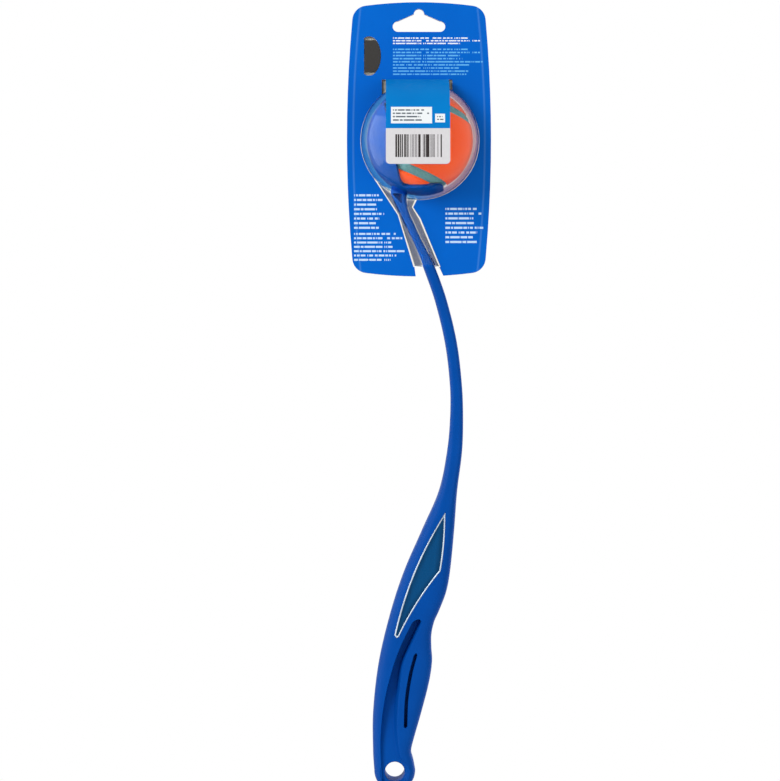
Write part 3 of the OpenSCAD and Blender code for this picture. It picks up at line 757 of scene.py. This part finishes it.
# Feet of the trough's walls on the flange, as (drop, across)
# The tops of those walls run along the edges of neck and shaft
TROUGH_LEFT = [(25.1, -29.0), (47.1, -14.6), (TROUGH_END, shaft_at_end - 9)]
TROUGH_RIGHT = [(30.1, 0.0), (42.4, -6.3), (50.1, -1.3), (TROUGH_END, shaft_at_end + 6.6)]
LINE_DROPS = np.linspace(26.5, 95, 180)
CARD_X, CARD_Z = -1.8, 0.7
FLANGE_HALF_W, FLANGE_HALF_H, FLANGE_CORNER, SIDE_BOW, END_BOW = 32.25, 73.5, 9.5, 3.6, 2.6
SIDE_ARC = (FLANGE_HALF_H**2 + SIDE_BOW**2) / (2 * SIDE_BOW)
END_ARC = (FLANGE_HALF_W**2 + END_BOW**2) / (2 * END_BOW)
SLOT_FOOT, SLOT_END_X, SLOT_END_R, SLOT_NOTCH_R, SLOT_H = 68.9, 13.3, 3.4, 3.3, 14.5
# The flange's hang slot is this much wider all round than the card's
SLOT_GROW = 1.0


def on_flange(x, z):
    """Whether a place in the card's plane is on the flange, which has bowed sides and round corners."""
    x, z = abs(x - CARD_X), abs(z - CARD_Z)
    wide = math.hypot(x - FLANGE_HALF_W + SIDE_ARC, z) - SIDE_ARC
    high = math.hypot(x, z - FLANGE_HALF_H + END_ARC) - END_ARC
    return math.hypot(max(wide, 0), max(high, 0)) < FLANGE_CORNER


def bearings(kind, points):
    """A straight or smooth line through points, as distances and bearings from the dome's middle."""
    reach = np.array([kind(points, d) for d in LINE_DROPS]) - DOME_X
    return np.hypot(reach, LINE_DROPS), np.arctan2(reach, LINE_DROPS)


film_lines = [bearings(between, TROUGH_LEFT), bearings(along, LEFT_EDGE),
              bearings(along, RIGHT_EDGE), bearings(between, TROUGH_RIGHT)]
FILM_START, FILM_STOP = math.radians(-54), math.radians(14)
# Columns of the film: the stretch between two lines, the share of that stretch,
# and the share of the trough's height that the film has there
WALL = [(0.0, 0.0), (0.06, 0.02), (0.17, 0.13), (0.5, 0.5), (0.83, 0.87), (0.94, 0.98)]
film_columns = [(0, s, 0.0) for s in (0, 0.12, 0.24, 0.36, 0.48, 0.6, 0.7, 0.79, 0.87, 0.93, 0.97, 0.993)]
film_columns += [(1, s, up) for s, up in WALL] + [(2, s, 1.0) for s in (0, 0.12, 0.35, 0.65, 0.88)]
film_columns += [(3, s, 1 - up) for s, up in WALL]
film_columns += [(4, s, 0.0) for s in (0, 0.007, 0.03, 0.07, 0.13, 0.21, 0.3, 0.4, 0.52, 0.64, 0.76, 0.88)]
film_columns += [(5, k / 84, 0.0) for k in range(84)]
DOME_ANGLES = [*range(0, 78, 3), 78, 80, 82, 84, 85.5, 87, 88.2, 89]
DOME_ROWS = [DOME_R * math.sin(math.radians(a)) for a in DOME_ANGLES]
FLANGE_ROWS = [(k / 50) ** 1.15 for k in range(51)]


def film_bearing(column, reach):
    trough = [np.interp(reach, *line) for line in film_lines]
    lines = [FILM_START, *trough, FILM_STOP, FILM_START + 2 * math.pi]
    return lines[column[0]] + column[1] * (lines[column[0] + 1] - lines[column[0]])


def film_end(column):
    """How far from the dome's middle one column of the film reaches: to the trough's end, or the flange's."""
    near, far = DOME_R + 1, 120.0
    in_trough = column[0] in (1, 2, 3) or column[:2] == (4, 0)
    for _ in range(24):
        reach = (near + far) / 2
        turn = film_bearing(column, reach)
        x, drop = DOME_X + reach * math.sin(turn), reach * math.cos(turn)
        inside = drop < TROUGH_END if in_trough else on_flange(x, -drop)
        near, far = (reach, far) if inside else (near, reach)
    return near


film_ends = [film_end(c) for c in film_columns]


def film_point(i, j):
    """Across, height above the middle plane, and drop of the film's outer face."""
    column = film_columns[i % len(film_columns)]
    if j < len(DOME_ROWS):
        reach, dome = DOME_ROWS[j], math.sqrt(DOME_R**2 - DOME_ROWS[j] ** 2)
    else:
        share = FLANGE_ROWS[j - len(DOME_ROWS)]
        flange_run = film_ends[i % len(film_columns)] - DOME_R - DOME_FOOT
        reach, dome = DOME_R + DOME_FOOT + share * flange_run, -5.0
    turn = film_bearing(column, max(reach, DOME_R))
    trough = FILM_T - FILM_AIR + column[2] * TROUGH_UP
    up = max(dome, trough) + max(0.0, FILM_FILLET - abs(dome - trough)) ** 2 / (4 * FILM_FILLET)
    return DOME_X + reach * math.sin(turn), up, reach * math.cos(turn)


film_clear, tree, shader, where = new_material("clear_film")
haze = noise(tree, where, 60, 3)
# Painted light in the film's colour: walls that are seen nearly edge on are darker. Trough walls get painted
# shade, a dark grey, and the dome's rim gets painted reflections, the blue of the cup on its left and the
# ball's warm colour on its right
steep = add_node(tree, "LayerWeight", {"Blend": 0.5}).outputs["Facing"]
face_on = mix(tree, haze, (0.94, 0.925, 0.885, 1.0), (0.97, 0.955, 0.915, 1.0))
flat = add_node(tree, "VectorMath", {0: where, 1: (1.0, 0.0, 1.0)}, operation="MULTIPLY").outputs[0]
from_dome = add_node(tree, "VectorMath", {0: flat, 1: (DOME_X * MM, 0.0, 0.0)}, operation="DISTANCE")
in_trough = ramp(tree, from_dome.outputs["Value"], (DOME_R + 0.1) * MM, (DOME_R + 1.1) * MM)
# Painted shade: trough walls seen nearly edge on are tinted dark grey
wall_shade_share = sums(tree, "MULTIPLY", in_trough, ramp(tree, steep, 0.1, 0.32))
painted_wall_shade = mix(tree, wall_shade_share, face_on, (0.42, 0.43, 0.47, 1.0))
# Painted reflection: the dome's rim seen edge on takes the cup's blue on the left and the ball's warm colour
# on the right
reflection_warm_side = ramp(tree, axes(tree, where)["X"], -0.005, 0.02)
painted_rim_reflection = mix(tree, reflection_warm_side, (0.05, 0.24, 0.6, 1.0), (0.4, 0.25, 0.29, 1.0))
rim_reflection_share = sums(tree, "MULTIPLY", ramp(tree, steep, 0.46, 0.6), sums(tree, "SUBTRACT", 1.0, in_trough))
tint_and_painted_light = mix(tree, rim_reflection_share, painted_wall_shade, painted_rim_reflection)
surface(tree, shader, tint_and_painted_light, haze, 0.015, 0.05, IOR=1.2, Transmission_Weight=1.0)
bump(tree, shader, noise(tree, where, 45, 2), 0.12, 0.0006)
# Lamps shine through the film as if it were not there
see_through = add_node(tree, "BsdfTransparent", {"Color": (0.975, 0.98, 0.985, 1.0)})
lamp_way = add_node(tree, "MixShader", {0: add_node(tree, "LightPath").outputs["Is Shadow Ray"],
                                        1: shader.outputs[0], 2: see_through.outputs[0]})
tree.links.new(lamp_way.outputs[0], tree.nodes["Material Output"].inputs["Surface"])


def arc(x, z, r, angles):
    return [(x + r * math.cos(math.radians(a)), z + r * math.sin(math.radians(a))) for a in angles]


slot_line = arc(SLOT_END_X, SLOT_END_R, SLOT_END_R + SLOT_GROW, range(-90, 81, 17))
slot_line += arc(0.0, SLOT_H - SLOT_NOTCH_R, SLOT_NOTCH_R + SLOT_GROW, range(5, 91, 17))
slot_line += [(-x, z) for x, z in reversed(slot_line)]


def slot_point(i, j):
    x, z = slot_line[i % len(slot_line)]
    return CARD_X + x, (-3, 3)[j], SLOT_FOOT + z


for name, side in (("back", -1), ("front", 1)):
    def shell_point(i, j):
        x, up, drop = film_point(i, j)
        return x, side * up, -drop

    shell = new_sheet("film_" + name, len(film_columns), len(DOME_ROWS) + len(FLANGE_ROWS) - 1, shell_point)
    close_up(shell, ends=False)
    if sum(f.normal.y for f in shell.data.polygons) * side < 0:
        shell.data.flip_normals()
    finish_with(shell, "SOLIDIFY", thickness=(FILM_T - 2 * FILM_AIR) * MM, offset=-1)
    slot_tool = new_sheet("slot_tool", len(slot_line), 1, slot_point)
    close_up(slot_tool)
    combine(shell, slot_tool, "DIFFERENCE")
    soften(shell, 50)
    paint(shell, film_clear)
    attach(shell, "pack_" + name)
    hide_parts("blister_" + name)


# Cards: two panels of coated board, printed blue outside and bare grey inside, glued round the film's flange.
# The print is generic: rows of bars stand for its text, without words, marks or pictures.
CARD_FACE = 0.9
# How close to a face of the board its colour starts
FACE_SKIN = 0.03
BOARD_GREYS = (srgb(138, 136, 132), srgb(164, 162, 158))
WHITE_INK, SKY_INK, PALE_INK = srgb(238, 244, 250), srgb(96, 178, 236), srgb(190, 216, 244)
# Blocks of small print: left, right, top and foot in millimetres, number of rows, and ink
PRINT_BLOCKS = [(-18.3, 39.5, 65.8, 60.7, 3, WHITE_INK), (-18.3, 39.5, 58.8, 41, 9, SKY_INK),
                (-43, -24, -33.4, -57, 8, PALE_INK), (-43, -11, -58, -77.2, 7, PALE_INK),
                (15, 39, -42, -66, 8, PALE_INK)]


def random_at(tree, step):
    return add_node(tree, "TexWhiteNoise", {"W": step}, noise_dimensions="1D").outputs["Value"]


def printed_lines_group():
    """Node group: a mask of rows of broken bars inside a box, like lines of small print."""
    group = bpy.data.node_groups.new("printed_lines", "ShaderNodeTree")
    group.interface.new_socket("Place", in_out="INPUT", socket_type="NodeSocketVector")
    for name in ("Left", "Right", "Top", "Bottom", "Rows", "Letter"):
        group.interface.new_socket(name, in_out="INPUT", socket_type="NodeSocketFloat")
    group.interface.new_socket("Mask", in_out="OUTPUT", socket_type="NodeSocketFloat")
    given = group.nodes.new("NodeGroupInput").outputs
    x, _, z = axes(group, given["Place"])
    wide = sums(group, "SUBTRACT", given["Right"], given["Left"])
    high = sums(group, "SUBTRACT", given["Top"], given["Bottom"])
    down = sums(group, "DIVIDE", sums(group, "SUBTRACT", given["Top"], z), high)
    down = sums(group, "MULTIPLY", down, given["Rows"])
    row, part = sums(group, "FLOOR", down), sums(group, "FRACT", down)
    # Rows end at different places, and about a quarter of the letters are gaps
    short = sums(group, "MULTIPLY", wide, sums(group, "MULTIPLY", random_at(group, row), 0.3))
    row_end = sums(group, "SUBTRACT", given["Right"], short)
    letter = sums(group, "DIVIDE", sums(group, "SUBTRACT", x, given["Left"]), given["Letter"])
    draw = sums(group, "MULTIPLY_ADD", row, 61.7, sums(group, "FLOOR", letter))
    mask = sums(group, "GREATER_THAN", random_at(group, draw), 0.25)
    for one, other in ((x, given["Left"]), (row_end, x), (given["Top"], z), (z, given["Bottom"]),
                       (part, 0.28), (0.72, part)):
        mask = sums(group, "MULTIPLY", mask, sums(group, "GREATER_THAN", one, other))
    group.links.new(mask, group.nodes.new("NodeGroupOutput").inputs["Mask"])
    return group


PRINTED_LINES = printed_lines_group()


def print_rows(tree, where, left, right, top, bottom, rows, letter=0.6):
    """Mask of one block of small print; the box and the letters' width are in millimetres."""
    block = add_node(tree, "Group", node_tree=PRINTED_LINES)
    tree.links.new(where, block.inputs["Place"])
    for name, value in zip(("Left", "Right", "Top", "Bottom", "Letter"), (left, right, top, bottom, letter)):
        block.inputs[name].default_value = value * MM
    block.inputs["Rows"].default_value = rows
    return block.outputs["Mask"]


card_print, tree, shader, where = new_material("printed_card")
place = axes(tree, where)
ink = mix(tree, noise(tree, where, 22, 2), srgb(0, 90, 190), srgb(0, 104, 204))
for *box, colour in PRINT_BLOCKS:
    ink = mix(tree, print_rows(tree, where, *box), ink, colour)
# Board over the edge of the flange stands up a little as a ridge down each side: it is bumped, and given a
# faint paler painted highlight line
from_middle = sums(tree, "ABSOLUTE", sums(tree, "SUBTRACT", place["X"], CARD_X * MM))
height = sums(tree, "SUBTRACT", place["Z"], CARD_Z * MM)
height_share = sums(tree, "ABSOLUTE", sums(tree, "DIVIDE", height, FLANGE_HALF_H * MM))
flange_edge = sums(tree, "MULTIPLY_ADD", sums(tree, "POWER", height_share, 2.0),
                   -SIDE_BOW * MM, (FLANGE_HALF_W + FLANGE_CORNER) * MM)
off_edge = sums(tree, "ABSOLUTE", sums(tree, "SUBTRACT", from_middle, flange_edge))
ridge_and_painted_highlight = ramp(tree, off_edge, 0.0002, 0.0009, 1.0, 0.0)
# Painted highlight: a paler blue along the ridge
ink = mix(tree, sums(tree, "MULTIPLY", ridge_and_painted_highlight, 0.16), ink, srgb(120, 180, 240))
off_middle = sums(tree, "ABSOLUTE", place["Y"])
outside = sums(tree, "GREATER_THAN", off_middle, (CARD_FACE - FACE_SKIN) * MM)
inside = sums(tree, "LESS_THAN", off_middle, (FILM_T + FACE_SKIN) * MM)
fibres = noise(tree, where, 900, 3)
cut_edge = mix(tree, fibres, srgb(226, 226, 224), srgb(244, 244, 242))
bare = mix(tree, inside, cut_edge, mix(tree, fibres, *BOARD_GREYS))
surface(tree, shader, mix(tree, outside, bare, ink), noise(tree, where, 160, 3), 0.34, 0.46, 0.05)
rough_board = sums(tree, "MULTIPLY", noise(tree, where, 260, 3), 0.3)
bump(tree, shader, sums(tree, "ADD", ridge_and_painted_highlight, rough_board), 0.25, 0.0003)
for name in ("card_back", "card_front"):
    paint(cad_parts[name], card_print)


# Tag: a small dark plate of moulded plastic that lies behind the card's oval window.
# It is held between the back card and the film's flange, and only its outer face shows.
tag_plastic, tree, shader, where = new_material("tag_plastic")
speck = noise(tree, where, 1200, 2)
surface(tree, shader, mix(tree, speck, srgb(48, 46, 44), srgb(62, 60, 58)), speck, 0.45, 0.6, 0.12)
bump(tree, shader, speck, 0.2, 0.0001)
paint(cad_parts["tag_plate"], tag_plastic)


# Flap: a tongue of the back card, cut free on three sides, that folds out over the dome and hangs down.
# It is printed outside and bare inside, and a white paper label with plain bars is stuck on its flat end.
FLAP_R, FLAP_T, FLAP_W, FLAP_WRAP, FLAP_DROP, FLAP_CORNER = 38.4, 0.5, 39.5, 87.0, 22.0, 2.5
FLAP_X = DOME_X - 1.8
FLAP_START = math.degrees(math.asin(1.0 / (FLAP_R - FLAP_T)))
FLAP_COLUMNS = 12
LABEL_PAPER_T, PASTE_T = 0.2, 0.02


def flap_place(r, way):
    """Place on the flap at a radius: way is the angle round the dome, then millimetres past its end."""
    a = math.radians(min(way, FLAP_WRAP))
    down = max(0.0, way - FLAP_WRAP)
    return -r * math.sin(a) - down * math.cos(a), r * math.cos(a) - down * math.sin(a)


def flap_half(way):
    """Half width of the flap, less at its two round corners."""
    into = max(0.0, way - FLAP_WRAP - FLAP_DROP + FLAP_CORNER)
    return FLAP_W / 2 - FLAP_CORNER + math.sqrt(max(0.0, FLAP_CORNER**2 - into**2))


CORNER_WAY = FLAP_WRAP + FLAP_DROP - FLAP_CORNER
END_WAYS = [CORNER_WAY + FLAP_CORNER * math.sin(math.radians(a)) for a in range(0, 91, 10)]
FLAT_WAYS = list(np.linspace(FLAP_WRAP, CORNER_WAY, 8, endpoint=False)) + END_WAYS
ARC_WAYS = list(np.linspace(FLAP_START, FLAP_WRAP, 30, endpoint=False))


def flap_sheet(name, r, ways, thickness, outside, inside):
    """A sheet along the flap, with one material on its outer face and edges and another inside."""
    def place(i, j):
        y, z = flap_place(r, ways[j])
        return FLAP_X + flap_half(ways[j]) * (2 * i / FLAP_COLUMNS - 1), y, z

    piece = new_sheet(name, FLAP_COLUMNS, len(ways) - 1, place)
    if sum(f.normal.y for f in piece.data.polygons) > 0:
        piece.data.flip_normals()
    paint(piece, outside, inside)
    finish_with(piece, "SOLIDIFY", thickness=thickness * MM, offset=-1, material_offset=1)
    soften(piece, 40)
    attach(piece, "flap")
    return piece


def in_box(tree, place, left, right, top, bottom):
    """Mask of a box in the card's plane, in millimetres."""
    mask = 1.0
    for axis, kind, edge in (("X", "GREATER_THAN", left), ("Z", "GREATER_THAN", bottom),
                             ("X", "LESS_THAN", right), ("Z", "LESS_THAN", top)):
        mask = sums(tree, "MULTIPLY", mask, sums(tree, kind, place[axis], edge * MM))
    return mask


# White boxes on the flap, each with rows of grey print: left, right, top and foot, and number of rows
WHITE_BOXES = [(-19.6, 5.6, 15.7, 5.1, 4), (7.5, 13.6, 11.2, 5.7, 2)]
flap_print, tree, shader, where = new_material("flap_card")
place = axes(tree, where)
ink = mix(tree, noise(tree, where, 30, 2), srgb(0, 110, 188), srgb(0, 128, 204))
for left, right, top, bottom, rows in WHITE_BOXES:
    ink = mix(tree, in_box(tree, place, left, right, top, bottom), ink, srgb(232, 236, 238))
    letters = print_rows(tree, where, left + 1.2, right - 0.8, top - 1, bottom + 1, rows)
    ink = mix(tree, letters, ink, srgb(96, 104, 112))
surface(tree, shader, ink, noise(tree, where, 200, 3), 0.36, 0.5, 0.06)
bump(tree, shader, noise(tree, where, 320, 3), 0.12, 0.0002)

board, tree, shader, where = new_material("bare_board")
fibres = noise(tree, where, 900, 3)
surface(tree, shader, mix(tree, fibres, *BOARD_GREYS), noise(tree, where, 300, 3), 0.7, 0.85, 0.1)
bump(tree, shader, noise(tree, where, 1400, 3), 0.15, 0.0001)
flap = flap_sheet("flap", FLAP_R, ARC_WAYS + FLAT_WAYS, FLAP_T, flap_print, board)
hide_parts("barcode_flap")

BAR_BOX, BAR_WIDE = (-17.1, 11.6, -1.7, -15.8), 0.36
label_paper, tree, shader, where = new_material("label_paper")
place = axes(tree, where)
step = sums(tree, "FLOOR", sums(tree, "DIVIDE", place["X"], BAR_WIDE * MM))
bars = sums(tree, "GREATER_THAN", random_at(tree, step), 0.5)
bars = sums(tree, "MULTIPLY", bars, in_box(tree, place, *BAR_BOX))
paper = mix(tree, noise(tree, where, 700, 3), srgb(204, 202, 204), srgb(218, 216, 218))
bars_on_paper = mix(tree, bars, paper, srgb(46, 40, 40))
surface(tree, shader, bars_on_paper, noise(tree, where, 260, 3), 0.5, 0.65, 0.2)
bump(tree, shader, noise(tree, where, 900, 3), 0.15, 0.0001)
label = flap_sheet("flap_label", FLAP_R + LABEL_PAPER_T, FLAT_WAYS, LABEL_PAPER_T - PASTE_T,
                   label_paper, board)
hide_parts("barcode_label")


# Stage: a pale floor well below the hanging pack, in a white studio with soft lamps on both sides.
# The world is white where the camera or the film sees it, and lights the part at a lower, plain level.
FLOOR_WIDE, FLOOR_Z = 2.3, -0.72
WORLD_LIGHT = 0.42
LAMP_AIM = Vector((0, 0, -0.15))
# Each lamp: name, place, size in metres, and power in watts
LAMPS = [("key", (-1.1, -1.1, 0.7), 0.7, 20), ("fill", (0.8, -1.3, 0.1), 0.9, 4.5),
         ("back", (1.2, 1.2, 0.6), 0.9, 20), ("gleam", (-1.5, -0.15, 0.0), 1.9, 25)]
bpy.ops.mesh.primitive_plane_add(size=FLOOR_WIDE, location=(0, 0, FLOOR_Z))
floor = bpy.context.object
floor.name = "floor"
floor_pale, tree, shader, where = new_material("floor_pale")
pale = mix(tree, noise(tree, where, 3, 2), srgb(244, 244, 244), srgb(250, 250, 250))
tree.links.new(pale, shader.inputs["Base Color"])
shader.inputs["Roughness"].default_value = 0.8
paint(floor, floor_pale)

studio = bpy.data.worlds.new("studio")
bpy.context.scene.world = studio
studio.use_nodes = True
tree = studio.node_tree
ray = add_node(tree, "LightPath")
seen = sums(tree, "ADD", ray.outputs["Is Glossy Ray"], ray.outputs["Is Transmission Ray"])
seen = sums(tree, "MULTIPLY", seen, sums(tree, "LESS_THAN", ray.outputs["Diffuse Depth"], 0.5))
seen = sums(tree, "MINIMUM", sums(tree, "ADD", seen, ray.outputs["Is Camera Ray"]), 1.0)
tree.nodes["Background"].inputs["Color"].default_value = (1.0, 1.0, 1.0, 1.0)
tree.links.new(ramp(tree, seen, 0.0, 1.0, WORLD_LIGHT, 1.0), tree.nodes["Background"].inputs["Strength"])

for name, place, size, power in LAMPS:
    bpy.ops.object.light_add(type="AREA", location=place)
    lamp = bpy.context.object
    lamp.name = name
    lamp.data.size = size
    lamp.data.energy = power
    lamp.rotation_euler = (LAMP_AIM - lamp.location).to_track_quat("-Z", "Y").to_euler()
    # The gleam is only there to be mirrored in the film, and the lamp behind would streak it
    lamp.visible_diffuse = name != "gleam"
    lamp.visible_glossy = lamp.visible_transmission = name != "back"
